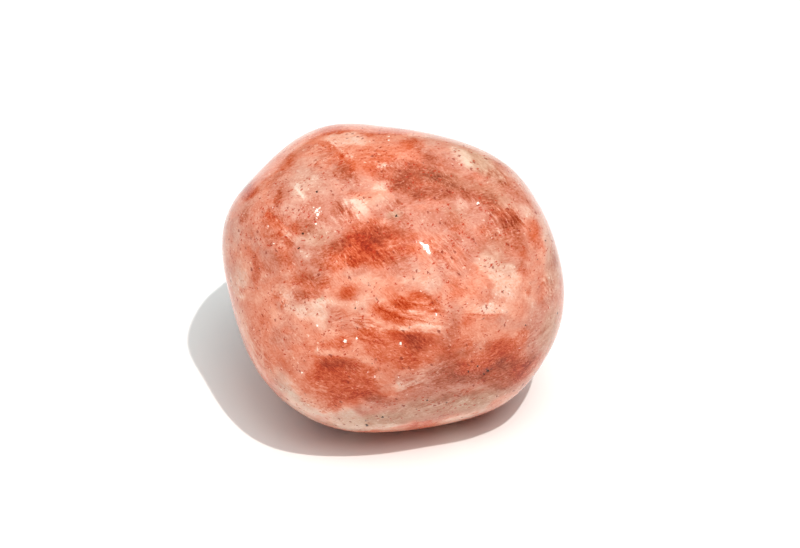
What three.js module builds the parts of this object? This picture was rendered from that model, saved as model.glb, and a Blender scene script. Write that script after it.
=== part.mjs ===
// A tumbled sunstone: one solid pebble of feldspar, 30 mm long, resting on its widest worn flat.
// Millimetres, +Z up, origin at the middle of the pebble's bounding box, on the surface it rests on.
import * as THREE from "three";
import { mergeVertices } from "three/addons/utils/BufferGeometryUtils.js";

// Driving dimensions.
const FINENESS = 17; // each face of the starting icosahedron is split into (FINENESS + 1)^2
const CRISPNESS = 11; // higher powers give flatter flats with tighter ridges between them
const REST_LEVEL = 12.3; // the resting flat is worn to this distance below the heart
const SAME_CORNER = 1e-6; // corners of the starting ball closer than this are one corner

// The flats that tumbling left on the rough piece, each a plane seen from the heart of the stone:
// [name, bearing from +X towards +Y in degrees, rise above level in degrees, distance in mm].
const FLATS = [
  ["right end", 1, 2, 15.9],
  ["right shoulder", 17, 21, 14.7],
  ["right brow", 36, 38, 16.1],
  ["rear brow", 56, 48, 14.3],
  ["crown", 82, 53, 13.9],
  ["left brow", 144, 38, 15.4],
  ["left end", 168, 16, 17.0],
  ["left flank", -171, -12, 14.6],
  ["left keel", -142, -39, 14.7],
  ["front keel", -87, -53, 14.0],
  ["right keel", -50, -46, 15.7],
  ["right flank", -20, -24, 15.7],
  ["face", -96, 30, 13.9],
  ["upper face", -70, 66, 13.6],
  ["left cheek", -136, 20, 14.7],
  ["right cheek", -46, 14, 15.0],
  ["lower face", -92, -10, 14.0],
  ["right lower face", -68, -20, 13.6],
  ["roof", 165, 74, 13.6],
  ["rear", 84, 0, 13.8],
  ["rear left", 126, -14, 15.0],
  ["rear right", 46, -10, 14.6],
  ["rear keel", 92, -46, 14.0],
  ["rear left keel", 154, -40, 15.2],
  ["right end keel", 14, -48, 15.0],
  ["base", 0, -90, 12.5],
];

// Broad shallow hollows where the softer feldspar wore faster:
// [name, bearing, rise, radius across the surface in mm, depth in mm].
const HOLLOWS = [
  ["brow hollow", -118, 52, 3.6, 0.28],
  ["cheek hollow", -62, 34, 2.8, 0.2],
  ["left hollow", -158, 12, 3.2, 0.22],
  ["rear hollow", 70, 18, 4.2, 0.45],
  ["end hollow", 24, -8, 3.4, 0.3],
  ["rear left hollow", 138, 8, 3.6, 0.35],
];

// The unit vector at a bearing and a rise, both in degrees.
function direction(bearing, rise) {
  const turn = THREE.MathUtils.degToRad(bearing);
  const tilt = THREE.MathUtils.degToRad(rise);
  return new THREE.Vector3(
    Math.cos(tilt) * Math.cos(turn),
    Math.cos(tilt) * Math.sin(turn),
    Math.sin(tilt),
  );
}

const flats = FLATS.map(([, bearing, rise, distance]) => ({
  normal: direction(bearing, rise),
  distance,
}));
const hollows = HOLLOWS.map(([, bearing, rise, radius, depth]) => ({
  way: direction(bearing, rise),
  radius,
  depth,
}));

// How far the surface lies from the heart along a unit vector: the planes of all the flats,
// blended so that their edges round over, less the hollows.
function reach(way) {
  let sum = 0;
  for (const { normal, distance } of flats) {
    sum += Math.max(0, way.dot(normal) / distance) ** CRISPNESS;
  }
  const blended = sum ** (-1 / CRISPNESS);
  let worn = 0;
  for (const { way: middle, radius, depth } of hollows) {
    const across = blended * way.angleTo(middle);
    worn += depth * Math.exp(-((across / radius) ** 2));
  }
  return blended - worn;
}

// The pebble as a closed mesh, standing on z = 0 with its box centred over the origin.
function pebble() {
  const ball = new THREE.IcosahedronGeometry(1, FINENESS);
  ball.deleteAttribute("normal");
  ball.deleteAttribute("uv");
  const geometry = mergeVertices(ball, SAME_CORNER);
  const position = geometry.getAttribute("position");
  const point = new THREE.Vector3();
  for (let i = 0; i < position.count; i++) {
    point.fromBufferAttribute(position, i).normalize();
    point.multiplyScalar(reach(point));
    position.setXYZ(i, point.x, point.y, Math.max(0, point.z + REST_LEVEL));
  }
  geometry.computeBoundingBox();
  const middle = geometry.boundingBox.getCenter(new THREE.Vector3());
  geometry.translate(-middle.x, -middle.y, 0);
  geometry.computeVertexNormals();
  return geometry;
}

const feldspar = new THREE.MeshStandardMaterial({
  color: new THREE.Color(0.83, 0.45, 0.34),
  roughness: 0.25,
  metalness: 0,
});

const sunstone = new THREE.Mesh(pebble(), feldspar);
sunstone.name = "sunstone";

const part = new THREE.Group();
part.add(sunstone);

export default part;
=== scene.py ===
import math

import bmesh
import bpy
import numpy as np
from mathutils import Matrix, Vector, noise
from mathutils.bvhtree import BVHTree


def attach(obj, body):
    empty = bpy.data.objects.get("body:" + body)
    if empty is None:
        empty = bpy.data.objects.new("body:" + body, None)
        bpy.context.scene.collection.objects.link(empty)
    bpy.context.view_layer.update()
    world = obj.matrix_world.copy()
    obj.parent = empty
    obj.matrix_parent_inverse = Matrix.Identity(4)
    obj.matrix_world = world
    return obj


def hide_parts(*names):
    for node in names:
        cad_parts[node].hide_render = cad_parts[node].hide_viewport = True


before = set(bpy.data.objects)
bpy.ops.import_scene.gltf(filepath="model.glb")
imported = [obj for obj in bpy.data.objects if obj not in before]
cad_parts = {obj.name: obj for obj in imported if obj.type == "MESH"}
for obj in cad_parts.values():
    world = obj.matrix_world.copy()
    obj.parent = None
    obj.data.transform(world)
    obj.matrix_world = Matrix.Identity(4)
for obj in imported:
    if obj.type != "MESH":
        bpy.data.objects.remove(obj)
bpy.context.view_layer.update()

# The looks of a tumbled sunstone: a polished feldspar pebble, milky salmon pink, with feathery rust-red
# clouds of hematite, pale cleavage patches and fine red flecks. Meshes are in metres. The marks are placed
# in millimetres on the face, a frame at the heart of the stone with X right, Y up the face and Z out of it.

MM = 0.001

# The face is the side of the stone that looks forward and up.
HEART = Vector((0.08, -0.16, 12.3)) * MM
FACE_TURN = math.radians(90 - 37)  # from lying flat to looking 37 degrees up
FACE = Matrix.Rotation(FACE_TURN, 4, "X")

# The camera looks straight at the face.
CAMERA_AWAY = 300 * MM
CAMERA_AIM = Vector((0.53, 0.44, 0)) * MM
SEEN_WIDTH = 70.6 * MM
SENSOR_MM = 36

# A small hard lamp at the front right with a soft box around it, a bright ceiling that darkens towards the
# horizon, and a pale wall on the left. A span says from where to where they brighten: the height of a way
# of length one for the ceiling, and how far it goes to the right for the wall.
KEY_TURN = math.radians(29.7)
KEY_RISE = math.radians(64.7)
KEY_WIDTH = math.radians(1.0)
KEY_POWER = 1.9
KEY_TINT = (1.0, 0.97, 0.93)
GLOW_WIDTH = math.radians(35)
GLOW_POWER = 1.1
CEILING_POWER = 1.2
CEILING_SPAN = (0.5, 0.95)
HORIZON_POWER = 0.01
WALL_POWER = 0.6
WALL_SPAN = (-0.3, -0.9)
SKY_TINT = (0.9, 1.0, 1.0, 1)
FLOOR_SIZE = 3.0
PAPER = (0.9, 0.9, 0.9, 1)


def srgb(red, green, blue):
    """A colour as a screen shows it, 0 to 255, turned into the linear colour that a shader takes."""
    tones = (tone / 255 for tone in (red, green, blue))
    return (*(t / 12.92 if t <= 0.04045 else ((t + 0.055) / 1.055) ** 2.4 for t in tones), 1)


# The feldspar's colours from no hematite to much of it: where it is warm, where it is greyish, and where
# it is ashen.
WARM = [srgb(246, 212, 196), srgb(240, 194, 174), srgb(231, 163, 138), srgb(218, 130, 102), srgb(204, 98, 64),
        srgb(186, 72, 38), srgb(162, 49, 22), srgb(138, 36, 14)]
GREYISH = [srgb(234, 210, 196), srgb(224, 192, 174), srgb(214, 162, 143), srgb(201, 132, 112),
           srgb(184, 102, 77), srgb(160, 74, 47), srgb(132, 51, 28), srgb(108, 36, 20)]
ASHEN = [srgb(234, 208, 190), srgb(224, 194, 174), srgb(209, 170, 148), srgb(194, 146, 122),
         srgb(178, 120, 96), srgb(154, 92, 67), srgb(127, 67, 44), srgb(102, 50, 30)]
LEAST, MOST = -0.2, 1.2  # the amounts of hematite at the two ends of these lists
GROUND = 0.4  # the amount away from all marks

RED_FLECK = srgb(180, 54, 28)
MAROON_FLECK = srgb(138, 40, 22)
BLACK_FLECK = srgb(24, 18, 12)
# The white of the painted glints: specks that stand in for the lamp's light caught by small cleavage faces.
PAINTED_GLINT_WHITE = srgb(255, 246, 236)

# The marks on the face, in families. Each is a soft-edged cloud in the stone, given as
# (right, up, half width, half height, turn in degrees, strength). The great cloud lies left of the middle,
# and the fan is a fan of streaks just below the middle.
RUST_CLOUDS = [
    # round the rim
    (10.6, -8.8, 1.6, 0.5, 30, 0.35),
    (8.8, 8.9, 1.4, 0.6, -40, 0.25),
    (12.5, 4.0, 1.2, 0.4, -68, 0.25),
    (11.0, -7.6, 1.4, 0.9, 32, 0.75),
    (12.3, -7.0, 0.7, 0.4, 30, 0.4),
    (9.8, -8.9, 1.2, 0.5, 25, 0.35),
    (-13.3, 5.4, 0.5, 0.8, 0, 0.6),
    (-13.1, 8.0, 0.8, 1.2, 35, 1.0),
    (-9.2, 10.6, 0.5, 0.6, -20, 0.3),
    (-13.3, -1.1, 0.5, 0.35, 0, 0.45),
    (-5.2, 13.1, 1.1, 0.3, -3, 0.45),
    (1.4, 12.0, 0.9, 0.5, -10, 0.45),
    (-0.6, 13.1, 1.8, 0.35, -2, 0.45),
    (14.2, 1.9, 0.4, 0.8, 0, 0.4),
    (-5.6, -11.3, 1.2, 0.4, 5, 0.7),
    (2.9, -12.9, 1.4, 0.3, 8, 0.3),
    (-9.8, 9.2, 0.9, 2.0, -35, 0.12),
    (-5.7, 11.4, 1.4, 0.9, 10, 0.25),
    (9.5, 9.1, 1.9, 0.5, -48, 0.2),
    # across the top
    (-3.6, 7.4, 0.6, 0.4, 0, 0.3),
    (0.7, 8.6, 1.1, 0.8, 0, 0.85),
    (0.9, 10.0, 1.5, 0.5, 0, 0.55),
    (2.5, 9.1, 1.6, 0.8, 0, 0.75),
    (4.5, 8.6, 1.6, 0.9, -14, 0.7),
    (3.2, 7.4, 1.8, 0.7, -8, 0.65),
    (6.9, 7.2, 1.5, 0.6, -28, 0.55),
    (8.0, 7.6, 1.6, 0.7, -38, 0.45),
    (-10.0, 7.2, 0.4, 0.7, 0, 0.7),
    (-7.4, 7.0, 0.8, 0.9, 0, 0.35),
    (-4.1, 9.5, 0.9, 1.0, 0, 0.65),
    (-4.6, 10.8, 0.3, 0.25, 0, 0.8),
    (3.3, 10.8, 0.9, 0.7, 0, 0.3),
    (5.2, 9.7, 0.8, 0.4, -20, 0.3),
    (-0.8, 10.6, 1.2, 0.4, 0, 0.3),
    (-1.0, 9.5, 1.1, 0.5, 0, 0.4),
    # on the left
    (-6.4, 2.4, 0.8, 0.5, 0, 0.25),
    (-5.8, 1.4, 1.3, 0.6, 0, 0.5),
    (-10.6, 5.5, 1.0, 0.8, 0, 0.5),
    (-8.0, 4.6, 1.5, 0.7, -10, 0.6),
    (-10.2, 4.2, 0.5, 0.3, -35, 0.5),
    (-9.3, 3.2, 0.5, 0.5, -35, 0.85),
    (-9.8, 1.6, 0.9, 0.9, 0, 0.35),
    (-10.6, 3.8, 0.9, 0.6, -20, 0.2),
    (-6.2, 5.4, 0.7, 0.4, -20, 0.25),
    (-11.7, 0.9, 0.6, 0.6, 0, 0.35),
    # in the great cloud and round it
    (-1.7, 4.0, 2.4, 0.8, 8, 0.85),
    (-3.9, 2.9, 2.0, 0.8, 14, 0.95),
    (-1.6, 2.5, 1.5, 0.9, -20, 0.7),
    (-3.3, 1.5, 0.7, 0.5, 0, 0.9),
    (-2.6, 1.7, 1.6, 0.7, 0, 0.35),
    (0.4, 3.4, 1.3, 0.9, 10, 0.5),
    (0.8, 2.4, 1.0, 0.6, 0, 0.45),
    (0.2, 1.4, 1.0, 0.6, -15, 0.2),
    (-2.2, 5.1, 1.0, 0.4, 10, 0.4),
    (-4.2, 6.0, 0.9, 0.7, -50, 0.12),
    (0.4, 5.3, 0.9, 0.5, 0, 0.5),
    (0.2, 6.3, 0.7, 0.4, 0, 0.35),
    (3.5, 2.8, 0.8, 0.5, -50, 0.2),
    (-5.0, 6.4, 0.7, 0.5, -45, 0.3),
    # on the right
    (7.5, 3.4, 1.0, 0.5, -20, 0.1),
    (8.7, 6.6, 1.4, 0.6, -38, 0.3),
    (9.3, 5.5, 1.2, 0.7, -45, 0.25),
    (10.7, 4.4, 0.9, 0.7, -50, 0.5),
    (10.6, 3.2, 1.6, 0.9, -40, 0.3),
    (8.6, 4.2, 1.2, 0.7, -40, 0.35),
    (6.0, 6.4, 1.6, 0.6, -30, 0.2),
    (11.1, 1.0, 0.7, 0.5, -20, 0.7),
    (5.0, 4.7, 1.0, 0.9, -30, 0.3),
    # left of the fan
    (-4.1, -1.2, 0.9, 0.5, 15, 0.35),
    (-7.4, -0.2, 1.6, 0.7, 8, 0.7),
    (-7.8, -1.5, 0.9, 0.5, 0, 0.4),
    (-12.2, 0.6, 0.25, 1.2, 5, 0.6),
    (-10.4, -1.6, 0.5, 0.25, 0, 0.4),
    (-9.8, -2.5, 0.25, 0.25, 0, 0.6),
    (-7.9, -1.9, 0.9, 0.5, 0, 0.5),
    # the fan
    (-2.2, -4.8, 1.4, 0.5, -28, 0.25),
    (0.7, -2.1, 1.0, 0.6, -6, 1.0),
    (2.3, -1.4, 1.1, 0.35, -10, 0.35),
    (3.5, -2.5, 0.5, 0.5, -40, 0.25),
    (-0.8, -2.95, 1.2, 0.5, -24, 1.1),
    (0.6, -3.6, 0.9, 0.3, -12, 0.6),
    # right of the fan
    (5.4, -4.8, 0.6, 0.7, 10, 0.5),
    (6.0, -3.8, 1.0, 0.6, 0, 0.3),
    (5.4, -1.2, 0.7, 0.8, 0, 0.25),
    (12.1, -1.3, 0.3, 0.3, 0, 0.6),
    # low on the left
    (-5.0, -7.6, 1.6, 0.7, 0, 1.0),
    (-5.9, -8.7, 1.4, 1.0, -5, 0.85),
    (-3.3, -9.1, 1.4, 1.3, -10, 1.0),
    (-4.7, -10.3, 2.4, 0.6, 5, 0.8),
    (-7.3, -9.6, 0.8, 0.6, 15, 0.15),
    (-2.5, -7.8, 1.1, 0.5, -10, 0.45),
    (-4.7, -5.5, 0.8, 0.5, 0, 0.6),
    (-6.0, -5.8, 1.0, 0.4, 5, 0.15),
    (-8.9, -5.4, 0.8, 1.0, 0, 0.1),
    # low in the middle
    (-1.8, -10.4, 1.2, 0.5, 0, 0.55),
    (1.8, -5.6, 1.5, 0.8, -8, 0.9),
    (0.3, -5.0, 0.9, 0.5, -12, 0.8),
    (1.8, -6.6, 1.5, 0.7, -10, 0.7),
    (-1.0, -6.2, 1.5, 0.8, -20, 0.6),
    (1.1, -7.3, 1.1, 0.6, 0, 0.65),
    (2.0, -8.8, 1.8, 0.7, 22, 0.1),
    # low on the right
    (9.2, -6.4, 1.4, 0.9, 35, 1.15),
    (8.8, -8.0, 2.2, 1.0, 24, 0.9),
    (11.2, -5.6, 1.2, 0.7, 40, 0.3),
    (5.1, -8.4, 1.6, 1.1, 15, 1.0),
    (4.6, -6.8, 1.0, 1.2, 0, 0.45),
    (6.9, -8.1, 1.8, 1.0, 15, 0.85),
    (6.6, -5.6, 0.8, 1.0, 20, 0.35),
    (4.9, -10.4, 1.2, 0.4, 10, 0.3),
    (7.9, -6.9, 0.9, 0.6, 20, 0.4),
]
PALE_PATCHES_AND_LIT_RIMS = [
    # round the rim, partly paler feldspar and partly painted light: they lighten the rims as the white floor
    # and the bright surround light them
    (1.8, 12.5, 3.2, 0.5, -6, 0.5),
    (6.6, 11.7, 2.6, 0.5, -24, 0.4),
    (10.4, 9.6, 2.0, 0.5, -42, 0.35),
    (8.2, 10.5, 1.2, 0.5, -38, 0.4),
    (10.4, -10.1, 1.4, 0.5, 42, 0.95),
    (-1.8, 13.0, 2.4, 0.4, 3, 0.1),
    (-7.4, 12.3, 2.4, 0.6, 24, 0.2),
    (-10.6, 10.2, 2.4, 1.0, 42, 0.15),
    (-10.8, 8.5, 1.1, 0.8, 30, 0.45),
    (-8.9, 9.0, 1.5, 1.0, 30, 0.7),
    (-8.0, 11.0, 1.8, 0.6, 32, 0.4),
    (-12.7, 6.4, 0.8, 1.2, 20, 0.3),
    (-4.8, 12.6, 1.6, 0.4, 4, 0.6),
    (12.7, 6.2, 0.6, 2.0, 22, 0.5),
    (6.0, 10.9, 1.3, 0.5, -42, 1.2),
    (7.8, 9.7, 0.9, 0.25, -25, 0.5),
    (8.6, 9.8, 1.4, 0.5, -40, 0.4),
    (12.9, 3.4, 0.5, 1.8, 10, 0.4),
    (13.2, 1.3, 0.6, 1.2, 5, 0.3),
    (12.7, -3.3, 1.1, 1.2, 0, 0.55),
    (-13.6, -0.2, 0.8, 1.6, 0, 1.2),
    (-13.8, 3.8, 0.7, 2.2, -4, 0.5),
    (-13.2, -4.4, 0.6, 2.0, 15, 0.6),
    (-12.0, -6.6, 0.7, 2.0, 25, 0.2),
    (-10.0, -8.9, 1.7, 1.1, -44, 1.0),
    (11.4, 6.1, 1.1, 0.8, -45, 0.9),
    (-3.8, 12.3, 2.2, 0.6, 0, 1.2),
    (-5.0, 12.0, 0.6, 0.5, -40, 0.6),
    (-11.6, 9.6, 0.8, 2.2, -40, 0.1),
    (13.6, 3.2, 0.5, 1.6, 15, 0.6),
    (8.6, -10.4, 2.0, 0.6, 24, 0.25),
    (-4.8, -12.2, 2.3, 0.8, -8, 1.8),
    (-2.2, -13.1, 3.2, 0.35, -1, 1.2),
    (-3.4, -13.3, 1.2, 0.35, -2, 1.0),
    (7.6, -11.3, 1.4, 0.4, 20, 0.6),
    (-7.2, -10.9, 1.5, 0.9, -30, 0.8),
    (6.2, -12.1, 1.6, 0.35, 24, 0.8),
    (5.0, -12.5, 1.6, 0.4, 14, 1.3),
    (-8.5, -11.3, 2.0, 0.5, -42, 1.1),
    # across the top
    (-7.2, 8.7, 1.8, 1.8, 0, 0.42),
    (-8.2, 7.5, 0.4, 1.1, 30, 0.5),
    (-1.1, 8.4, 1.1, 0.5, 8, 0.85),
    (-1.2, 7.2, 1.0, 0.6, 0, 0.3),
    (-0.9, 9.95, 0.5, 0.16, 10, 0.9),
    (6.0, 10.2, 1.0, 0.6, -30, 0.5),
    (0.6, 7.1, 1.0, 0.4, 0, 0.4),
    (4.7, 11.2, 1.3, 0.5, -15, 0.7),
    (-3.9, 10.9, 1.0, 0.25, -42, 0.7),
    # on the left
    (-9.0, 6.2, 0.8, 1.2, 0, 0.35),
    (-7.8, 3.2, 1.0, 0.5, -8, 0.8),
    (-5.9, 4.4, 1.3, 0.8, -20, 0.4),
    (-8.0, 1.7, 0.7, 0.5, 0, 0.5),
    (-7.7, 1.6, 0.5, 0.5, 0, 0.5),
    (-12.3, 3.3, 0.9, 0.9, 0, 0.5),
    # in the great cloud and round it
    (-2.9, 6.4, 1.2, 0.65, -46, 0.85),
    (-4.0, 5.4, 0.8, 0.5, -50, 0.4),
    (-0.9, 5.1, 0.8, 0.4, 0, 0.6),
    (3.0, 1.4, 0.9, 0.6, 0, 0.35),
    (2.2, 4.6, 1.1, 0.5, 0, 0.4),
    # on the right
    (5.9, 6.4, 0.9, 0.5, -42, 1.1),
    (8.6, 1.2, 1.8, 0.9, -20, 1.5),
    (6.0, 1.6, 1.0, 0.6, 0, 0.15),
    # left of the fan
    (-7.0, -2.9, 1.1, 1.0, 0, 1.3),
    (-5.9, -4.4, 1.1, 0.6, -10, 0.6),
    (-5.4, -2.0, 1.2, 0.5, -10, 0.9),
    (-5.7, -1.0, 0.9, 0.5, 0, 0.6),
    (-10.2, -1.1, 1.2, 0.7, 0, 0.9),
    (-12.6, -1.6, 1.4, 0.7, 0, 0.6),
    (-11.2, -3.4, 1.3, 1.8, 0, 0.4),
    (-9.0, -2.4, 1.4, 0.8, -30, 1.0),
    (-5.6, -3.1, 0.7, 0.6, 0, 0.5),
    # the fan
    (-2.2, -0.6, 2.0, 0.7, -8, 0.7),
    (-2.5, -2.4, 1.6, 0.8, 0, 0.8),
    (-0.9, 0.0, 1.3, 0.5, 0, 0.35),
    (2.5, 0.0, 1.7, 0.9, 10, 0.85),
    (3.4, -3.8, 1.4, 0.6, 0, 0.6),
    (3.3, -1.0, 1.0, 0.8, 0, 0.8),
    (3.4, -3.0, 0.8, 0.9, 0, 0.5),
    (2.2, -4.25, 2.6, 0.22, -2, 1.0),
    # right of the fan
    (12.0, -1.3, 0.8, 0.8, 0, 0.4),
    (9.7, -0.5, 1.3, 0.9, -20, 0.9),
    (12.7, -1.4, 0.8, 1.4, 0, 0.35),
    (8.9, -1.5, 0.7, 0.5, 0, 0.6),
    (10.5, 0.6, 0.9, 0.7, -30, 0.95),
    (8.6, -2.6, 1.9, 0.6, -4, 0.9),
    (10.6, -1.7, 1.8, 0.6, -10, 0.5),
    (7.8, 0.3, 1.4, 0.6, 0, 0.5),
    # low on the left
    (-5.9, -6.4, 1.5, 0.28, 0, 0.5),
    (-8.1, -8.3, 0.6, 0.25, 20, 0.6),
    (-2.8, -6.0, 0.8, 0.5, 0, 0.5),
    (-7.6, -7.6, 0.8, 0.8, 0, 0.1),
    # low in the middle
    (2.4, -8.5, 1.5, 0.25, 25, 0.5),
    (0.3, -9.3, 0.8, 0.35, 20, 0.9),
    (-1.5, -8.4, 0.6, 0.3, 30, 0.5),
]
# Where the stone is greyish (above zero) and where it is orange (below).
GREY_VEILS_AND_RIM_LIGHT = [
    # round the rim, partly greyer feldspar and partly painted light: the paler, greyer look that light
    # through the thin edges and from the white floor gives the rims and the underside
    (-12.4, 8.6, 0.9, 2.2, -38, -0.4),
    (-13.6, 5.0, 1.1, 2.4, -6, 0.9),
    (-13.9, 0.6, 0.8, 1.4, 0, 0.4),
    (4.0, 12.4, 4.4, 0.8, -12, 0.9),
    (9.5, 10.2, 3.0, 0.6, -38, 0.7),
    (14.0, 2.0, 0.8, 2.8, 8, 0.9),
    (14.2, -2.4, 0.6, 1.8, -8, 0.8),
    (-2.0, -12.1, 4.4, 0.9, 4, 0.9),
    (8.2, -10.2, 2.8, 0.9, 28, 0.9),
    (-8.2, -11.0, 2.4, 0.5, -38, 0.8),
    (-12.6, 3.4, 0.9, 1.0, 0, 0.6),
    (9.0, 9.2, 3.0, 1.8, -42, 1.0),
    (11.4, 6.4, 1.6, 2.0, 20, 0.9),
    (13.2, -4.6, 1.0, 2.4, -10, 0.7),
    (11.0, -9.2, 1.6, 0.8, 35, 0.6),
    (-2.0, -12.9, 3.0, 0.5, 4, 0.9),
    (-10.2, -8.8, 1.6, 1.2, -40, 0.6),
    (12.8, 5.6, 1.0, 2.0, 25, 0.4),
    (12.8, -3.6, 1.2, 3.0, 0, 0.4),
    (-13.4, 3.2, 0.8, 2.6, 0, -0.7),
    (-0.4, 13.0, 3.0, 0.8, -4, -1.8),
    (-6.6, 12.8, 2.2, 0.8, 24, -1.6),
    (3.2, -13.0, 1.8, 0.4, 8, -0.8),
    (-12.0, -6.4, 1.0, 2.4, 25, -1.5),
    # across the top
    (6.0, 10.3, 1.5, 0.9, -30, 0.7),
    (-7.4, 7.6, 2.0, 2.4, 0, 0.9),
    (3.2, 8.3, 4.2, 1.5, -12, 0.7),
    (-4.3, 9.3, 1.2, 1.0, 0, 0.5),
    (3.7, 7.3, 1.8, 0.6, -10, 0.7),
    (-9.0, 8.0, 2.4, 3.0, -20, 0.3),
    (4.0, 10.4, 1.6, 1.0, -20, 0.7),
    (-3.2, 8.4, 1.3, 0.9, 0, 0.8),
    (3.0, 11.5, 2.4, 0.8, -10, 0.4),
    (-2.4, 11.0, 2.2, 1.2, -5, -1.7),
    (0.6, 11.4, 1.6, 0.8, -10, -0.6),
    # on the left
    (-11.0, 3.0, 1.8, 2.4, 0, 0.4),
    (-6.8, 3.6, 2.2, 2.2, 0, 0.9),
    (-8.0, 2.4, 1.6, 1.2, 0, 0.5),
    (-5.9, 4.3, 1.3, 0.8, -20, 0.6),
    (-9.6, 2.8, 0.9, 1.0, 0, -0.8),
    # in the great cloud and round it
    (0.1, 5.7, 0.6, 0.4, 0, 1.0),
    (-4.8, 2.9, 1.0, 0.8, 0, 0.8),
    (0.6, 1.2, 1.6, 0.9, 0, 0.8),
    (-4.6, 6.0, 2.0, 1.4, -30, 0.5),
    (1.8, 5.4, 3.0, 1.6, -10, 0.8),
    (-1.0, 6.3, 1.6, 0.8, 0, 0.6),
    (-3.5, 5.6, 1.4, 0.6, 0, -0.2),
    (-4.0, 2.4, 1.7, 1.1, 0, -0.5),
    (2.2, 2.4, 1.4, 0.6, 0, -0.2),
    # on the right
    (6.1, 6.4, 1.2, 0.8, -40, 0.5),
    (7.0, 3.4, 1.8, 1.2, -20, 0.5),
    (7.0, 6.2, 2.4, 1.2, -30, 1.0),
    (9.2, 1.4, 1.6, 1.0, -20, 0.6),
    (12.3, 3.4, 0.9, 1.2, 0, 0.6),
    (10.0, 1.6, 2.4, 1.2, -20, 0.5),
    (9.8, 3.6, 1.6, 1.2, -45, 0.4),
    (12.4, 3.6, 0.7, 1.6, 20, -0.7),
    # left of the fan
    (-7.6, 0.4, 1.4, 1.0, 0, 0.6),
    (-9.5, -4.8, 1.2, 1.3, 0, 0.5),
    (-12.2, -3.0, 1.8, 2.2, -10, -1.0),
    (-8.6, -2.4, 1.2, 0.8, -30, 0.6),
    (-6.2, -2.6, 1.6, 1.2, 0, 0.2),
    (-7.9, -1.2, 1.0, 0.8, 0, 0.4),
    # the fan
    (2.6, -0.6, 1.2, 1.0, 0, 0.6),
    (3.8, -1.6, 0.9, 2.2, 0, 0.6),
    (-1.5, -1.4, 2.6, 0.8, 0, 0.3),
    (1.2, -2.6, 2.8, 1.6, -8, -1.4),
    (-0.6, -3.8, 1.8, 1.0, 0, -0.6),
    (-2.6, -1.0, 2.2, 0.8, 0, -0.7),
    # right of the fan
    (5.2, -4.0, 0.9, 1.6, 0, 0.7),
    (10.4, -4.0, 1.2, 1.2, 0, 0.6),
    (6.4, -0.9, 1.4, 0.9, 0, -0.5),
    (6.8, -4.6, 1.2, 1.6, 0, -0.7),
    (10.6, -2.8, 1.6, 0.9, 0, -0.5),
    # low on the left
    (-5.8, -9.9, 2.8, 1.9, 0, -1.9),
    (-5.4, -5.8, 2.0, 1.2, 0, -1.1),
    # low in the middle
    (-1.2, -10.6, 1.4, 0.5, 0, 0.8),
    (3.2, -11.3, 3.6, 1.5, 8, 1.1),
    (1.6, -7.9, 2.2, 0.9, 20, 0.5),
    (-0.8, -6.2, 2.2, 1.3, -15, -1.2),
    (-1.6, -8.2, 1.6, 0.8, 0, -0.7),
    (1.6, -7.6, 2.4, 0.9, 20, -1.0),
    # low on the right
    (4.6, -9.3, 4.0, 0.8, 8, 0.6),
    (4.6, -7.6, 1.5, 1.4, 10, 0.6),
    (7.5, -8.2, 2.2, 0.9, 20, 0.3),
    (7.2, -7.4, 1.4, 1.0, 0, -0.8),
    (9.0, -5.6, 2.4, 1.2, 30, -0.5),
]
# Where the stone is ashen: chalky and without its pink. On the underside facet and the rims this is partly
# painted light: the greyish cream that the white floor's light and light through the thin edges give them.
ASH_VEILS_AND_UNDERSIDE_LIGHT = [
    (3.0, -11.3, 3.8, 1.4, 8, 0.65),
    (7.8, -10.6, 2.6, 1.0, 24, 0.8),
    (-2.2, -12.7, 3.8, 0.8, 2, 0.9),
    (-8.8, -11.0, 2.0, 0.7, -40, 0.4),
    (13.8, -4.6, 0.8, 2.2, -12, 0.6),
    (14.0, 1.2, 0.8, 2.8, 6, 0.5),
    (6.6, 10.8, 1.8, 0.8, -38, 0.7),
    (8.4, 9.7, 2.4, 0.9, -38, 0.6),
    (9.4, 3.4, 1.2, 0.8, -40, 0.4),
    (8.9, 1.7, 1.8, 1.0, -30, 0.45),
    (8.8, 7.2, 1.8, 1.0, -35, 0.6),
    (4.6, 8.8, 2.8, 1.1, -14, 0.5),
    (-1.6, 7.2, 1.3, 0.7, 0, 0.4),
    (-6.9, 3.8, 1.7, 1.2, -10, 0.5),
    (-7.4, 8.4, 1.8, 1.8, 0, 0.2),
    (5.4, 5.6, 1.6, 0.8, -30, 0.4),
    (-12.6, 8.4, 0.9, 1.8, -36, 0.1),
    (-6.5, -1.9, 0.6, 0.2, 33, 0.8),
    (0.1, 5.7, 0.6, 0.4, 0, 0.7),
]

# Where the single flecks crowd, and where they are few (below zero).
FLECK_CROWDS = [
    (6.4, 0.5, 5.0, 5.0, 0, 0.8),
    (5.0, 7.5, 6.0, 2.5, -20, 0.6),
    (-1.5, 3.5, 4.0, 2.0, 10, 0.8),
    (-9.5, 3.5, 4.0, 5.0, 0, 0.6),
    (-9.0, -5.0, 4.0, 3.5, 0, 0.5),
    (6.0, -8.5, 5.0, 2.0, 10, 0.7),
    (-3.0, 10.5, 4.0, 1.5, 0, 0.4),
    (-2.5, -6.5, 5.0, 4.0, 0, 0.4),
    (3.0, -11.5, 6.0, 1.5, 8, 0.3),
    (10.4, 1.2, 1.9, 1.3, -20, -0.9),
    (1.0, -0.4, 2.0, 0.8, 0, -0.5),
]

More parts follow.
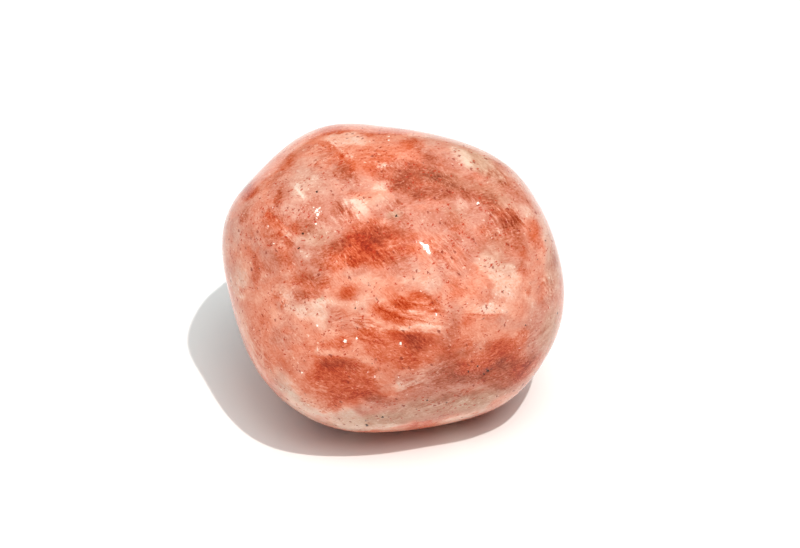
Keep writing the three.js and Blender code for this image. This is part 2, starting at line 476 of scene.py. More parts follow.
# Clouds cut off along a straight cleavage edge: the cut runs through the middle along the half width, and
# the cloud lies below it. It is rust where the strength is above zero, and pale where it is below.
CUT_CLOUDS = [
    (1.7, -4.75, 2.4, 1.4, -5, 0.16),
    (-5.2, -6.85, 2.0, 1.2, -4, 0.14),
    (-3.8, 6.3, 1.1, 1.5, 126, -0.16),
    (-8.3, 7.5, 1.1, 0.7, 118, -0.12),
    (-4.9, 11.3, 1.2, 1.0, 138, -0.14),
    (11.0, 5.7, 0.9, 1.2, -48, 0.17),
    (-9.2, 3.6, 1.0, 0.35, 137, -0.14),
    (-4.1, -1.9, 1.1, 1.2, 176, 0.16),
    (8.2, -3.1, 1.9, 0.6, -3, 0.14),
    (-6.6, -2.0, 0.7, 0.5, 33, -0.15),
    (6.6, 10.4, 1.0, 0.6, -44, -0.12),
]

# Patches where the stone is streaked, in the three ways that the streaks run.
FALLING_STREAKS = [
    (9.9, 5.2, 1.7, 1.1, -50, 1.0),
    (8.9, 9.4, 2.0, 0.8, -45, 0.6),
    (-4.2, 6.0, 1.1, 0.9, -50, 1.0),
    (4.9, 2.0, 2.6, 1.8, -58, 0.5),
    (-6.4, 9.6, 1.4, 1.2, -50, 0.5),
    (-11.6, -7.0, 2.4, 0.7, -58, 0.6),
    (13.8, -0.6, 1.4, 0.6, -80, 0.8),
    (-2.0, 2.8, 2.0, 1.4, -42, 0.4),
]
LEVEL_STREAKS = [
    (2.4, -2.8, 2.2, 1.1, -12, 1.0),
    (-2.2, -4.5, 1.8, 0.9, -28, 1.1),
    (-5.0, -9.8, 2.6, 1.2, 0, 0.7),
    (2.0, -6.2, 1.6, 1.0, -10, 0.4),
    (-2.0, 11.0, 2.0, 1.0, 0, 0.4),
    (3.0, 9.2, 3.0, 1.0, -10, 0.4),
]
RISING_STREAKS = [
    (-4.9, -3.2, 0.6, 0.8, 20, 0.6),
    (11.4, -7.6, 1.6, 1.0, 34, 0.8),
    (12.2, -5.2, 1.6, 0.8, 12, 0.6),
    (3.0, -8.4, 3.0, 1.0, 24, 0.7),
    (8.8, -6.6, 1.6, 1.0, 34, 0.5),
    (7.0, -10.4, 3.0, 0.8, 20, 0.5),
    (2.4, -11.4, 3.6, 1.0, 12, 0.6),
    (-7.6, -10.6, 2.0, 1.0, -40, 0.3),
]

# Fine strokes, each as (right, up, half length, half width, turn in degrees, strength). They are veins of
# hematite where the strength is above zero, and bare cleavage edges where it is below. Along the small
# ledges a light stroke beside a dark one is painted light and shade: the lit and the shaded side of a ledge.
STROKES_AND_LEDGE_SHADES = [
    # across the fan and under it
    (-0.3, -3.05, 0.9, 0.1, -24, 0.22),
    (1.9, -3.62, 1.5, 0.08, -9, 0.22),
    (1.4, -2.85, 1.6, 0.08, -6, -0.1),
    (2.9, -3.2, 1.2, 0.08, -8, -0.17),
    (2.2, -2.3, 1.1, 0.08, -4, 0.17),
    (3.3, -1.8, 0.9, 0.1, -38, 0.17),
    (2.4, -4.05, 1.7, 0.08, -5, -0.14),
    (1.7, -4.55, 2.2, 0.08, -4, -0.17),
    (-3.1, -3.9, 0.5, 0.1, -20, 0.22),
    (-2.2, -4.6, 0.8, 0.08, -30, 0.25),
    (-1.7, -5.1, 0.7, 0.08, -32, 0.22),
    (-2.0, -5.5, 1.2, 0.08, -15, 0.22),
    (-1.5, -4.3, 0.9, 0.1, -22, -0.19),
    # in the great cloud
    (-2.2, 2.7, 1.3, 0.12, -42, 0.19),
    (-1.6, 4.3, 1.4, 0.14, 10, 0.14),
    (-0.6, 2.8, 0.7, 0.1, 12, -0.19),
    (-0.3, 1.9, 0.9, 0.07, -50, 0.19),
    (-1.5, 1.6, 0.7, 0.07, -42, 0.19),
    # by the cream patch, partly painted light and shade: the lit and the shaded sides of a small ledge
    (-4.2, 6.1, 0.7, 0.08, -50, 0.25),
    (-4.8, 6.5, 0.5, 0.07, -50, 0.22),
    (-4.5, 5.6, 0.8, 0.07, -47, -0.19),
    (-5.2, 5.2, 0.6, 0.06, -47, -0.17),
    (-3.3, 6.1, 1.0, 0.05, -46, 0.17),
    (-2.5, 6.6, 0.9, 0.05, -46, 0.14),
    (-3.6, 5.9, 1.0, 0.07, -48, -0.17),
    # the small ledges on the left and at the top, painted as light and shade: light strokes where a ledge
    # catches the light, dark ones on its shaded side
    (-9.4, 3.8, 0.9, 0.07, -48, -0.17),
    (-9.6, 4.1, 0.8, 0.1, -48, 0.17),
    (-8.4, 7.7, 0.9, 0.1, -52, -0.19),
    (-5.4, 12.0, 0.6, 0.09, -40, -0.22),
    (-4.5, 11.2, 0.7, 0.08, -48, -0.22),
    (-1.0, 9.95, 0.5, 0.12, 10, -0.22),
    # in the streaky cloud on the right
    (10.4, 5.5, 0.8, 0.08, -52, 0.16),
    (11.1, 5.2, 0.9, 0.1, -50, 0.17),
    (10.0, 5.1, 0.9, 0.06, -52, -0.19),
    (10.9, 5.7, 0.9, 0.06, -50, -0.19),
    (9.0, 4.6, 0.8, 0.06, -60, -0.22),
    (8.3, 4.3, 0.5, 0.06, -60, -0.22),
    (13.9, -0.8, 0.9, 0.08, -82, 0.22),
    (7.9, -3.15, 1.7, 0.07, -1, 0.14),
]

FAMILIES = {"rust": RUST_CLOUDS, "pale": PALE_PATCHES_AND_LIT_RIMS, "grey": GREY_VEILS_AND_RIM_LIGHT, "ash": ASH_VEILS_AND_UNDERSIDE_LIGHT,
            "flecked": FLECK_CROWDS, "falling": FALLING_STREAKS, "level": LEVEL_STREAKS,
            "rising": RISING_STREAKS}

# Specks, each as (right, up, radius).
BLACK_SPECKS = [
    (-6.8, 7.7, 0.12), (-8.1, 4.0, 0.1), (2.65, 10.25, 0.09), (-3.4, -2.55, 0.09), (7.9, -3.5, 0.09),
    (11.6, -4.1, 0.08), (14.45, -3.0, 0.1), (13.4, 3.4, 0.1), (12.65, 1.7, 0.07), (-2.45, -12.55, 0.14),
    (-2.4, -12.95, 0.17), (-1.0, -12.2, 0.12), (8.3, -8.1, 0.16), (8.0, -8.4, 0.12), (8.6, -8.0, 0.09),
    (6.6, -8.2, 0.11), (7.4, -7.7, 0.09), (2.9, -10.7, 0.1), (4.6, -10.9, 0.1), (4.4, -10.6, 0.07),
    (2.0, -11.5, 0.08), (-11.9, 0.9, 0.07), (-12.4, 1.9, 0.07), (0.2, 5.6, 0.16), (-8.4, 2.7, 0.1),
]
# Painted glints: white specks that stand in for the lamp's light caught by small cleavage faces and pits.
PAINTED_GLINT_SPECKS = [
    (-6.8, 6.05, 0.15), (-6.75, 5.7, 0.13), (-7.1, 6.3, 0.1), (-6.55, 6.25, 0.1), (-6.9, 4.85, 0.09),
    (-6.95, 5.85, 0.09), (-6.6, 5.9, 0.07), (-6.85, 5.4, 0.08), (-6.45, 6.0, 0.05), (-7.2, 6.05, 0.06),
    (-10.7, 6.3, 0.07), (-11.15, 4.65, 0.07), (-10.6, 3.15, 0.08), (-4.3, -5.5, 0.16), (-3.3, -5.25, 0.1),
    (-6.8, -4.1, 0.08), (0.6, -5.7, 0.14), (3.73, -3.15, 0.1), (2.35, -1.1, 0.07), (7.64, 4.88, 0.09),
    (8.6, 3.66, 0.1), (9.2, 4.4, 0.08), (7.4, 6.7, 0.12), (-0.46, 12.6, 0.08), (-0.46, 12.27, 0.1),
    (-1.7, -8.6, 0.1), (-8.1, -8.3, 0.09), (0.4, -8.7, 0.07), (11.1, -6.1, 0.06), (-2.3, -8.2, 0.06),
]

# ---------------------------------------------------------------------------------------------- the mesh

SUBDIVISIONS = 2
SAME_POINT = 1e-6  # metres

# The worn skin: how fine its swells are (in waves per mm) and how deep they go (in mm).
SWELLS = [(0.3, 0.04), (1.1, 0.015)]

# Dents in the skin, each as (right, up, radius, depth). One with a negative depth is a rise.
DENTS = [
    (1.6, 1.8, 1.5, 0.07),
    (7.2, 3.0, 4.2, 0.2),
    (5.1, 2.6, 1.6, 0.04),
    (3.2, 1.9, 2.2, 0.03),
    (-7.4, 12.7, 6.0, -0.27),
    (9.2, -10.4, 5.0, -0.34),
    (12.2, 7.0, 4.0, 0.2),
    (-7.3, 6.4, 0.6, 0.06),
    (-6.3, 5.6, 0.5, 0.05),
    (8.3, -8.2, 0.7, 0.06),
    (-2.4, -12.7, 0.5, 0.08),
    (-9.6, 3.4, 0.6, 0.05),
    (0.9, -5.3, 0.4, 0.04),
    (8.2, 4.4, 0.7, 0.05),
    (14.2, -2.0, 0.5, 0.05),
]
DENT_REACH = 1.2  # how far out a dent goes, in its radii

# How far the edges of the painted clouds wander, as (waves per mm, reach in mm). The noise that pushes
# them starts from the clock unless it is given a seed, and with a seed each run gives the same stone.
WANDER = [(0.35, 0.5), (1.3, 0.28)]
WANDER_SEED = 1795483240

# A cloud fades over the outer FADE of its way out, and is gone at OUTER times its half sizes.
OUTER = 1.5
FADE = 0.75

# How deep a cloud goes, in mm: deeper where the skin under it falls away from the front.
LEAST_DEPTH = 1.2
DEPTH_BY_SLOPE = 1.2  # for each mm of its half size and each unit of the skin's slope
MOST_DEPTH = 5
STEEPEST = math.radians(72)  # where the skin leans more than this, it counts as leaning this much


def fine_pebble():
    """The pebble's fine surface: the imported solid's faces, merged and subdivided."""
    pebble = bpy.data.objects.new("pebble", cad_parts["sunstone"].data.copy())
    bpy.context.scene.collection.objects.link(pebble)
    form = bmesh.new()
    form.from_mesh(pebble.data)
    bmesh.ops.remove_doubles(form, verts=form.verts, dist=SAME_POINT)
    bmesh.ops.recalc_face_normals(form, faces=form.faces)
    form.to_mesh(pebble.data)
    form.free()
    finer = pebble.modifiers.new("finer", "SUBSURF")
    finer.levels = finer.render_levels = SUBDIVISIONS
    smooth = pebble.evaluated_get(bpy.context.evaluated_depsgraph_get())
    pebble.data = bpy.data.meshes.new_from_object(smooth)
    pebble.modifiers.clear()
    pebble.data.materials.clear()
    pebble.data.shade_smooth()
    return pebble


def face_points(mesh):
    """Where the mesh's vertices are on the face, in mm, a row each."""
    places = np.empty(3 * len(mesh.vertices))
    mesh.vertices.foreach_get("co", places)
    return (places.reshape(-1, 3) - np.array(HEART)) @ np.array(FACE.to_3x3()) / MM


class Seats:
    """Finds where a mark that is placed as seen from the front lies on the skin."""

    def __init__(self, pebble):
        self.skin = BVHTree.FromObject(pebble, bpy.context.evaluated_depsgraph_get())
        self.eye = HEART + FACE.to_3x3() @ (CAMERA_AIM + Vector((0, 0, CAMERA_AWAY)))

    def find(self, right, up):
        """The place under (right, up), on the face in mm, and how steeply the skin falls away there."""
        target = HEART + FACE.to_3x3() @ (Vector((right, up, 0)) * MM)
        hit, normal, _, _ = self.skin.ray_cast(self.eye, (target - self.eye).normalized())
        if hit is None:
            raise ValueError(f"no skin under the mark at {right}, {up}")
        place = FACE.to_3x3().transposed() @ (hit - HEART) / MM
        lean = min(normal.angle(self.eye - hit), STEEPEST)
        return place, math.tan(lean)

    def cloud(self, right, up, half_width, half_height):
        """A cloud's place and its outer half sizes, deep enough to follow the skin where that is steep."""
        place, steep = self.find(right, up)
        depth = min(LEAST_DEPTH + DEPTH_BY_SLOPE * max(half_width, half_height) * steep, MOST_DEPTH)
        return place, Vector((half_width, half_height, depth)) * OUTER


def ease(share):
    """0 up to 0, 1 from 1 on, and smooth between them."""
    share = np.clip(share, 0, 1)
    return share * share * (3 - 2 * share)


def clouds(points, seats, marks):
    """How much of a family of marks there is at each point: 1 in the middle of a full one."""
    total = np.zeros(len(points))
    for right, up, half_width, half_height, turn, strength in marks:
        place, size = seats.cloud(right, up, half_width, half_height)
        spin = Matrix.Rotation(math.radians(turn), 3, "Z")
        inside = (points - np.array(place)) @ np.array(spin) / np.array(size)
        total += strength * ease((1 - np.linalg.norm(inside, axis=1)) / FADE)
    return total


def drift(points, fineness, reach):
    """The points, each pushed by up to the reach in mm by a wandering noise."""
    pushes = np.array([noise.noise_vector(point) for point in points * fineness])
    return points + reach * pushes


def wear(pebble, seats):
    """Swells and dents the skin, and keeps the resting flat level."""
    mesh = pebble.data
    points = face_points(mesh)
    depth = np.zeros(len(points))
    for fineness, reach in SWELLS:
        depth += reach * np.array([0.5 + 0.5 * noise.noise(point) for point in points * fineness])
    for right, up, radius, sink in DENTS:
        place, _ = seats.find(right, up)
        away = np.linalg.norm(points - np.array(place), axis=1) / radius
        depth += sink * ease(DENT_REACH - away)
    normals = np.empty(3 * len(points))
    mesh.vertex_normals.foreach_get("vector", normals)
    places = np.empty(3 * len(points))
    mesh.vertices.foreach_get("co", places)
    rests = places[2::3] < SAME_POINT
    places -= np.repeat(depth * MM, 3) * normals
    places[2::3] = np.where(rests, 0, np.maximum(places[2::3], 0))
    mesh.vertices.foreach_set("co", places)
    mesh.update()


def paint(pebble, seats):
    """Keeps on each vertex how much of each family of marks there is."""
    noise.seed_set(WANDER_SEED)
    points = face_points(pebble.data)
    for fineness, reach in WANDER:
        points = drift(points, fineness, reach)
    for name, marks in FAMILIES.items():
        layer = pebble.data.attributes.new(name, "FLOAT", "POINT")
        layer.data.foreach_set("value", clouds(points, seats, marks))


# --------------------------------------------------------------------------------------- building nodes

class Graph:
    """Adds nodes to a node tree. An input takes another node's output or a plain value."""

    def __init__(self, tree):
        self.tree = tree

    def feed(self, socket, value):
        if isinstance(value, bpy.types.NodeSocket):
            self.tree.links.new(value, socket)
        else:
            socket.default_value = value

    def add(self, kind, settings=None, inputs=None):
        node = self.tree.nodes.new(kind)
        for name, value in (settings or {}).items():
            setattr(node, name, value)
        for name, value in (inputs or {}).items():
            self.feed(node.inputs[name], value)
        return node

    def math(self, operation, first, second=0.0):
        node = self.add("ShaderNodeMath", {"operation": operation}, {0: first, 1: second})
        return node.outputs[0]

    def plus(self, *values):
        total = values[0]
        for value in values[1:]:
            total = self.math("ADD", total, value)
        return total

    def minus(self, first, second):
        return self.math("SUBTRACT", first, second)

    def times(self, first, second):
        return self.math("MULTIPLY", first, second)

    def off_middle(self, value, amount):
        """value's distance from one half, times an amount: noise that adds as much as it takes away."""
        return self.times(self.minus(value, 0.5), amount)

    def vector(self, operation, first, second=(0, 0, 0)):
        node = self.add("ShaderNodeVectorMath", {"operation": operation}, {0: first, 1: second})
        return node.outputs["Vector"]

    def parts(self, vector):
        """The X, Y and Z of a vector."""
        return self.add("ShaderNodeSeparateXYZ", None, {"Vector": vector}).outputs

    def ease(self, value, low, high):
        """0 where value is at low or beyond, 1 where it is at high, and smooth between them."""
        node = self.add("ShaderNodeMapRange", {"interpolation_type": "SMOOTHSTEP"},
                        {"Value": value, "From Min": low, "From Max": high})
        return node.outputs["Result"]

    def mix(self, share, first, second):
        """The first colour, going over to the second as the share goes from 0 to 1."""
        node = self.add("ShaderNodeMix", {"data_type": "RGBA"}, {0: share, 6: first, 7: second})
        return node.outputs[2]

    def ramp(self, value, colours):
        """The colours in turn as the value goes from 0 to 1."""
        node = self.add("ShaderNodeValToRGB", None, {"Fac": value})
        stops = node.color_ramp.elements
        stops.remove(stops[1])
        for index, colour in enumerate(colours):
            stop = stops.new(index / (len(colours) - 1)) if index else stops[0]
            stop.color = colour
        return node.outputs["Color"]

    def set_in(self, vector, place, turn, size):
        """vector measured from a place, along turned axes, in units of a size."""
        node = self.add("ShaderNodeMapping", {"vector_type": "TEXTURE"},
                        {"Vector": vector, "Location": place, "Rotation": turn, "Scale": size})
        return node.outputs["Vector"]

    def noise(self, vector, scale, detail=2.0, roughness=0.5, distortion=0.0, output="Fac"):
        node = self.add("ShaderNodeTexNoise", None,
                        {"Vector": vector, "Scale": scale, "Detail": detail, "Roughness": roughness,
                         "Distortion": distortion})
        return node.outputs[output]

    def cells(self, vector, settings, inputs):
        """Voronoi cells: the distance from a cell's middle, and two numbers that each cell draws."""
        node = self.add("ShaderNodeTexVoronoi", settings, {"Vector": vector, **inputs})
        draws = self.add("ShaderNodeSeparateColor", None, {"Color": node.outputs["Color"]}).outputs
        return node.outputs["Distance"], draws["Red"], draws["Green"]

    def push(self, vector, fineness, reach):
        """The vector, pushed by up to about half the reach by a wandering noise."""
        pushes = self.vector("SUBTRACT", self.noise(vector, fineness, 2, output="Color"), (0.5, 0.5, 0.5))
        return self.vector("ADD", vector, self.vector("MULTIPLY", pushes, (reach, reach, reach)))

    def group(self, tree, **inputs):
        """A node group's output. Its inputs are given by name, in small letters with underscores."""
        node = self.add("ShaderNodeGroup", {"node_tree": tree},
                        {name.replace("_", " ").title(): value for name, value in inputs.items()})
        return node.outputs[0]


def new_group(name, inputs, output):
    """A shader node group that puts out one number: its tree, its graph, its inputs and its output."""
    tree = bpy.data.node_groups.new(name, "ShaderNodeTree")
    for socket, kind in inputs.items():
        tree.interface.new_socket(socket, in_out="INPUT", socket_type=kind)
    tree.interface.new_socket(output, in_out="OUTPUT", socket_type="NodeSocketFloat")
    graph = Graph(tree)
    return tree, graph, graph.add("NodeGroupInput").outputs, graph.add("NodeGroupOutput").inputs[output]


MARK_INPUTS = {"Point": "NodeSocketVector", "Place": "NodeSocketVector", "Turn": "NodeSocketVector",
               "Half Size": "NodeSocketVector", "Strength": "NodeSocketFloat"}
FLECK_INPUTS = {"Point": "NodeSocketVector", "Spacing": "NodeSocketFloat", "Radius": "NodeSocketFloat",
                "Share": "NodeSocketFloat"}


def soft_ball(graph, given, full_at):
    """A point set into a mark's own axes, and 1 in the mark's middle, falling to 0 at its half sizes."""
    inside = graph.set_in(given["Point"], given["Place"], given["Turn"], given["Half Size"])
    ball = graph.add("ShaderNodeTexGradient", {"gradient_type": "SPHERICAL"}, {"Vector": inside})
    return inside, graph.ease(ball.outputs["Fac"], 0.0, full_at)


def small_mark_group():
    """One small soft mark in the stone: a speck where it is round, a stroke where it is long."""
    tree, graph, given, amount = new_group("small mark", MARK_INPUTS, "Amount")
    _, ball = soft_ball(graph, given, full_at=0.5)
    graph.feed(amount, graph.times(ball, given["Strength"]))
    return tree


def cut_cloud_group():
    """A soft cloud cut off sharply along its middle line: only the part below the line is left."""
    tree, graph, given, amount = new_group("cut cloud", MARK_INPUTS, "Amount")
    inside, ball = soft_ball(graph, given, full_at=0.7)
    below = graph.ease(graph.parts(inside)["Y"], 0.05, -0.03)
    graph.feed(amount, graph.times(graph.times(ball, below), given["Strength"]))
    return tree


def fleck_group():
    """Scattered flecks: 1 inside a fleck, 0 outside. Share is the part of the cells that hold one."""
    tree, graph, given, fleck = new_group("flecks", FLECK_INPUTS, "Fleck")
    fineness = graph.math("DIVIDE", 1.0, given["Spacing"])
    distance, first_draw, second_draw = graph.cells(given["Point"], {"feature": "F1"}, {"Scale": fineness})
    held = graph.math("LESS_THAN", first_draw, given["Share"])
    radius = graph.times(given["Radius"], graph.plus(second_draw, 0.4))
    apart = graph.math("DIVIDE", graph.times(distance, given["Spacing"]), radius)
    graph.feed(fleck, graph.times(graph.ease(apart, 1.3, 0.6), held))
    return tree


# ----------------------------------------------------------------------------------------- the material

STREAK_TURNS = {"falling": -50, "level": -14, "rising": 28}  # degrees
STROKE_DEPTH = 1.2  # mm
SPECK_SHAPE = Vector((1.1, 1.1, 3))  # its half sizes, in its radii

# How much the parts of the stone add to the hematite, or take from it where they are below zero.
RUST_WEIGHT = 0.5
PALE_WEIGHT = -0.3
GLINT_WEIGHT = -0.3
GRAIN_WEIGHT = 1.2
FEATHER_WEIGHT = 0.2
STREAK_WEIGHT = 1.8
HIDDEN_STREAKS = 0.6  # how strong the streaks are on the hidden sides
BROAD_SHARD_WEIGHT = 0.18
SMALL_SHARD_WEIGHT = 0.1


class Feldspar:
    """The stone's material. Most of its parts say how much hematite there is: 0 is none, 1 is dark rust."""

    def __init__(self, seats):
        self.seats = seats
        self.material = bpy.data.materials.new("feldspar")
        self.material.use_nodes = True
        self.material.node_tree.nodes.clear()
        g = self.g = Graph(self.material.node_tree)

        # The place on the face in mm, and the same place pushed about in a broad and in finer ways.
        here = g.add("ShaderNodeTexCoord").outputs["Object"]
        self.point = g.set_in(here, HEART, (FACE_TURN, 0, 0), (MM, MM, MM))
        self.bent = g.push(self.point, fineness=0.3, reach=2.2)
        self.ragged = g.push(g.push(self.point, fineness=0.9, reach=0.5), fineness=4.0, reach=0.22)
        self.nicked = g.push(self.point, fineness=6.0, reach=0.42)

        # 0 where the stone is seen from the front, and 1 on the sides that look away.
        self.hidden = g.ease(g.parts(self.point)["Z"], 1.5, -3.0)

        self.small_mark = small_mark_group()
        self.cut_cloud = cut_cloud_group()
        self.flecks = fleck_group()

    def painted(self, family):
        return self.g.add("ShaderNodeAttribute", {"attribute_name": family}).outputs["Fac"]

    def lay(self, point, turn, stretch, start=(0, 0, 0), tilt=(0, 0)):
        """The point along the axes of a pattern that is turned on the face, tilted and stretched."""
        return self.g.set_in(point, start, (*tilt, math.radians(turn)), stretch)

    def one_mark(self, tree, point, place, size, turn, strength):
        return self.g.group(tree, point=point, place=place, half_size=size,
                            turn=(0, 0, math.radians(turn)), strength=strength)

    # What is placed one by one.

    def cut_clouds(self):
        amounts = []
        for right, up, half_width, half_height, turn, strength in CUT_CLOUDS:
            place, size = self.seats.cloud(right, up, half_width, half_height)
            amounts.append(self.one_mark(self.cut_cloud, self.ragged, place, size, turn, strength))
        return self.g.plus(*amounts)

    def strokes(self):
        amounts = []
        for right, up, half_length, half_width, turn, strength in STROKES_AND_LEDGE_SHADES:
            place, _ = self.seats.find(right, up)
            size = Vector((half_length, half_width, STROKE_DEPTH)) * OUTER
            amounts.append(self.one_mark(self.small_mark, self.nicked, place, size, turn, strength))
        return self.g.plus(*amounts)

    def specks(self, places):
        amounts = []
        for right, up, radius in places:
            place, _ = self.seats.find(right, up)
            size = SPECK_SHAPE * radius
            amounts.append(self.one_mark(self.small_mark, self.nicked, place, size, 0, 1.0))
        return self.g.plus(*amounts)

    # What is painted on the face, and laid by noise on the sides that look away from it.

    def cover(self):
        """How rusty, how pale and how grey the stone is."""
        g = self.g
        rust = g.ease(g.noise(self.bent, 0.18, 3, 0.55), 0.5, 0.68)
        pale = g.ease(g.noise(g.vector("ADD", self.bent, (20, 7, 3)), 0.16, 3, 0.55), 0.48, 0.68)
        grey = g.off_middle(g.noise(g.vector("ADD", self.bent, (5, 40, 9)), 0.14, 2), 3.0)
        return [g.plus(self.painted(family), g.times(patches, self.hidden))
                for family, patches in (("rust", rust), ("pale", pale), ("grey", grey))]

    def streaks(self):
        """Dark and light streaks along the three ways that they run."""
        g = self.g
        amounts = []
        for family, turn in STREAK_TURNS.items():
            laid = self.lay(self.bent, turn, (2.2, 0.3, 0.9), start=(1, 2, 3))
            streak = g.off_middle(g.noise(laid, 1.0, 4, 0.7), STREAK_WEIGHT)
            elsewhere = g.vector("ADD", self.bent, (turn, 9, 4))  # other patches for each way
            patches = g.ease(g.noise(elsewhere, 0.25, 2), 0.5, 0.7)
            hidden = g.times(self.hidden, g.times(patches, HIDDEN_STREAKS))
            amounts.append(g.times(streak, g.plus(self.painted(family), hidden)))
        return g.plus(*amounts)

    # The stone's own texture, everywhere.

    def feather(self):
        """Feathery fibres that run in two ways at once, about one half on average."""
        g = self.g
        falling = self.lay(self.bent, -42, (2.0, 0.5, 1.0), tilt=(0.3, 0.2))
        rising = self.lay(self.bent, 24, (2.0, 0.5, 1.0), start=(5, 3, 1), tilt=(0.3, 0.2))
        crossed = g.plus(g.times(g.noise(falling, 1.2, 6, 0.7, 0.2), 0.6),
                         g.times(g.noise(rising, 1.0, 6, 0.7, 0.2), 0.4))
        return g.plus(0.5, g.off_middle(crossed, 1.5))

    def grain(self):
        """The finest fibres, which lie one way in some places and another way in others."""
        g = self.g
        way = g.ease(g.noise(self.bent, 0.5, 2), 0.4, 0.6)
        down = self.lay(self.point, -46, (1.9, 0.75, 1.0), tilt=(0.3, 0))
        across = self.lay(self.point, 12, (1.9, 0.75, 1.0), tilt=(0, 0.3))
        return g.plus(g.times(g.noise(down, 4.6, 2, 0.85), way),
                      g.times(g.noise(across, 4.6, 2, 0.85), g.minus(1.0, way)))

    def shards(self, spacing, stretch, turn, softness):
        """The stone's cleavage shards: two numbers from 0 to 1 that differ from shard to shard."""
        laid = self.lay(self.ragged, turn, stretch, start=(3, 1, 2), tilt=(0.4, 0.2))
        _, shade, tint = self.g.cells(laid, {"feature": "SMOOTH_F1"},
                                      {"Scale": 1 / spacing, "Smoothness": softness})
        return shade, tint

    def shard_tones(self):
        """How much hematite the shards add, and how much greyer they make the stone."""
        g = self.g
        softness = g.ease(g.noise(self.bent, 0.35, 1), 0.35, 0.6)
        broad_shade, broad_tint = self.shards(2.3, (1.5, 0.75, 1.0), -42, softness)
        small_shade, small_tint = self.shards(0.8, (1.4, 0.8, 1.0), 20, g.times(softness, 0.6))
        shade = g.plus(g.off_middle(broad_shade, BROAD_SHARD_WEIGHT),
                       g.off_middle(small_shade, SMALL_SHARD_WEIGHT))
        return shade, g.plus(g.off_middle(broad_tint, 0.5), g.off_middle(small_tint, 0.2))

    def dashes(self):
        """Short pale scratches and painted glints of cleavage faces, slanting down to the right."""
        slanted = self.lay(self.bent, -48, (3.2, 0.8, 1.6))
        return self.g.group(self.flecks, point=slanted, spacing=0.7, radius=0.07, share=0.22)

    def glints(self):
        """Painted glints: pale specks that stand in for the light caught by the smallest cleavage faces."""
        g = self.g
        laid = self.lay(self.nicked, -40, (1.4, 0.8, 1.0), start=(2, 5, 3), tilt=(0.4, 0.2))
        share = g.plus(0.06, g.times(g.ease(g.noise(self.bent, 0.6, 2), 0.45, 0.65), 0.35))
        return g.group(self.flecks, point=laid, spacing=0.36, radius=0.075, share=share)

    # What these make together.

    def rust_clouds(self, rust, feather):
        """The rust clouds, feathered, and levelling off where several lie over each other."""
        g = self.g
        cloud = g.plus(g.times(rust, g.plus(0.5, g.times(feather, 1.2))), g.off_middle(feather, 0.25))
        return g.minus(1.0, g.math("EXPONENT", g.times(g.math("MAXIMUM", cloud, 0.0), -1.3)))

    def hematite(self, cloud, pale, feather, shade, dashes):
        """How much hematite there is in all."""
        g = self.g
        ground = g.plus(GROUND, g.off_middle(g.noise(self.bent, 0.4, 3), 0.4),
                        g.off_middle(g.noise(self.bent, 1.1, 4, 0.65, 0.4), 0.16),
                        g.off_middle(feather, FEATHER_WEIGHT), shade)
        # The pale patches, and the painted light on the rims, take hematite away.
        clear = g.ease(g.times(pale, g.plus(0.5, feather)), 0.0, 1.3)
        fine = g.times(g.off_middle(self.grain(), GRAIN_WEIGHT), g.plus(cloud, 0.5))
        # The pale scratches and the painted glints take hematite away, which makes them lighter.
        return g.plus(ground, g.times(cloud, RUST_WEIGHT), g.times(clear, PALE_WEIGHT), fine,
                      self.cut_clouds(), self.streaks(), self.strokes(),
                      g.times(dashes, GLINT_WEIGHT), g.times(self.glints(), GLINT_WEIGHT))

    def feldspar_colour(self, amount, grey, tint):
        g = self.g
        greyness = g.plus(0.4, g.times(grey, 0.6), g.off_middle(g.noise(self.bent, 0.7, 3), 0.5), tint)
        along = g.math("DIVIDE", g.minus(amount, LEAST), MOST - LEAST)
        colour = g.mix(g.ease(greyness, 0.0, 1.0), g.ramp(along, WARM), g.ramp(along, GREYISH))
        return g.mix(g.ease(self.painted("ash"), 0.0, 1.0), colour, g.ramp(along, ASHEN))

    def flecked(self, colour, cloud):
        """The colour with the hematite plates that show one by one: a fine dust and larger ones."""
        g = self.g
        crowd = g.plus(0.12, g.ease(g.noise(self.point, 0.6, 3), 0.4, 0.66))
        share = g.times(crowd, g.plus(0.4, g.times(self.painted("flecked"), 0.7)))
        share = g.plus(share, g.times(cloud, 0.25))
        rising = self.lay(self.nicked, 35, (1.5, 0.7, 1.0), start=(1, 2, 3), tilt=(0.5, 0.3))
        falling = self.lay(self.nicked, -55, (1.7, 0.7, 1.0), start=(4, 1, 2), tilt=(0.2, 0.6))
        dust = g.group(self.flecks, point=rising, spacing=0.28, radius=0.08, share=share)
        plates = g.group(self.flecks, point=falling, spacing=0.62, radius=0.12, share=share)
        colour = g.mix(g.times(dust, 0.9), colour, RED_FLECK)
        return g.mix(g.times(plates, 0.8), colour, MAROON_FLECK)

    def specked(self, colour):
        """The colour with the painted glints, white specks that stand in for the lamp's light on small
        cleavage faces, and with the black specks, of which a few lie all over the stone.
        """
        g = self.g
        stray = g.group(self.flecks, point=self.point, spacing=2.8, radius=0.07, share=0.06)
        black = g.ease(g.plus(self.specks(BLACK_SPECKS), stray), 0.1, 1.1)
        # bright: the painted glints, in white
        bright = g.ease(self.specks(PAINTED_GLINT_SPECKS), 0.1, 0.9)
        return g.mix(bright, g.mix(black, colour, BLACK_FLECK), PAINTED_GLINT_WHITE)

    def finish(self):
        """Wires all of it to the shader, and gives the material."""
        g = self.g
        rust, pale, grey = self.cover()
        feather = self.feather()
        shade, tint = self.shard_tones()
        dashes = self.dashes()
        cloud = self.rust_clouds(rust, feather)
        amount = self.hematite(cloud, pale, feather, shade, dashes)
        colour = self.specked(self.flecked(self.feldspar_colour(amount, grey, tint), cloud))

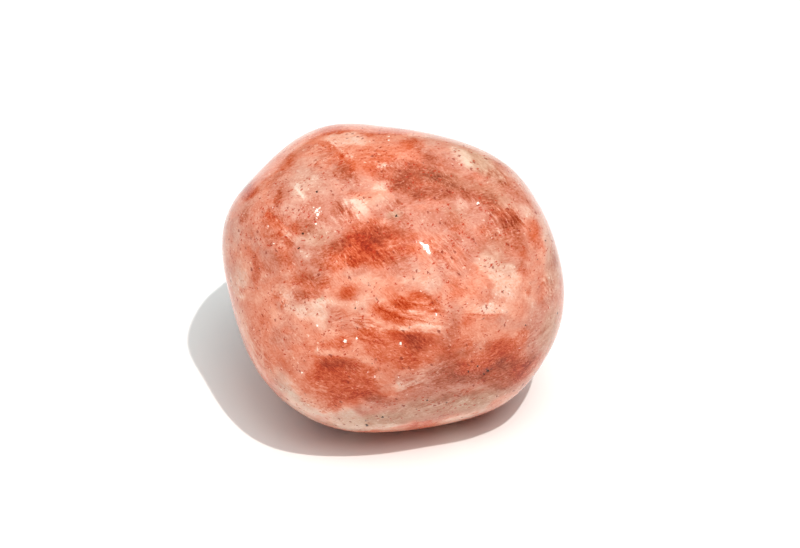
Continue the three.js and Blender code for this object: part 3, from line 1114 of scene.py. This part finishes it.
        polish = g.noise(self.point, 1.6, 4, 0.6)
        height = g.plus(g.times(polish, 0.5), g.times(g.noise(self.point, 7.0, 3, 0.7), 0.12),
                        g.times(dashes, 0.1))
        bump = g.add("ShaderNodeBump", None, {"Strength": 0.35, "Distance": 0.06 * MM, "Height": height})
        shader = g.add("ShaderNodeBsdfPrincipled", {"subsurface_method": "RANDOM_WALK"}, {
            "Base Color": colour,
            "Roughness": g.plus(0.04, g.times(polish, 0.09)),
            "Normal": bump.outputs["Normal"],
            "IOR": 1.5,
            "Specular IOR Level": 0.14,
            "Subsurface Weight": 0.18,
            "Subsurface Radius": (1.0, 0.45, 0.3),
            "Subsurface Scale": 0.9 * MM,
        })
        g.feed(g.add("ShaderNodeOutputMaterial").inputs["Surface"], shader.outputs[0])
        return self.material


# ------------------------------------------------------------------------------------------- the setting

def add_floor():
    form = bmesh.new()
    bmesh.ops.create_grid(form, x_segments=1, y_segments=1, size=FLOOR_SIZE / 2)
    mesh = bpy.data.meshes.new("floor")
    form.to_mesh(mesh)
    form.free()
    floor = bpy.data.objects.new("floor", mesh)
    bpy.context.scene.collection.objects.link(floor)
    paper = bpy.data.materials.new("white paper")
    paper.use_nodes = True
    shader = paper.node_tree.nodes["Principled BSDF"]
    shader.inputs["Base Color"].default_value = PAPER
    shader.inputs["Roughness"].default_value = 0.8
    mesh.materials.append(paper)


def add_lamps():
    """The hard lamp and the soft box around it. The box doesn't show in the polish."""
    flat = math.cos(KEY_RISE)
    key_way = Vector((flat * math.sin(KEY_TURN), -flat * math.cos(KEY_TURN), math.sin(KEY_RISE)))
    for name, power, width in (("key", KEY_POWER, KEY_WIDTH), ("glow", GLOW_POWER, GLOW_WIDTH)):
        light = bpy.data.lights.new(name, "SUN")
        light.color = KEY_TINT
        light.energy = power
        light.angle = width
        lamp = bpy.data.objects.new(name, light)
        lamp.rotation_euler = key_way.to_track_quat("Z", "Y").to_euler()
        lamp.visible_glossy = name == "key"
        bpy.context.scene.collection.objects.link(lamp)


def add_surround():
    """The bright ceiling, the dark horizon and the pale wall on the left."""
    surround = bpy.data.worlds.new("surround")
    surround.use_nodes = True
    g = Graph(surround.node_tree)
    way = g.parts(g.add("ShaderNodeTexCoord").outputs["Generated"])
    ceiling = g.times(g.ease(way["Z"], *CEILING_SPAN), CEILING_POWER - HORIZON_POWER)
    wall = g.times(g.ease(way["X"], *WALL_SPAN), WALL_POWER)
    sky = surround.node_tree.nodes["Background"]
    sky.inputs["Color"].default_value = SKY_TINT
    g.feed(sky.inputs["Strength"], g.plus(HORIZON_POWER, ceiling, wall))
    bpy.context.scene.world = surround
    bpy.context.scene.view_settings.view_transform = "Standard"


def add_camera():
    lens = bpy.data.cameras.new("camera")
    lens.sensor_width = SENSOR_MM
    lens.lens = SENSOR_MM * CAMERA_AWAY / SEEN_WIDTH
    lens.clip_start = 10 * MM
    camera = bpy.data.objects.new("camera", lens)
    away = FACE.to_3x3() @ (CAMERA_AIM + Vector((0, 0, CAMERA_AWAY)))
    camera.matrix_world = Matrix.Translation(HEART + away) @ FACE
    bpy.context.scene.collection.objects.link(camera)
    bpy.context.scene.camera = camera


add_camera()
add_lamps()
add_surround()
add_floor()
pebble = fine_pebble()
seats = Seats(pebble)
wear(pebble, seats)
paint(pebble, seats)
pebble.data.materials.append(Feldspar(seats).finish())
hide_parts("sunstone")
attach(pebble, "root")
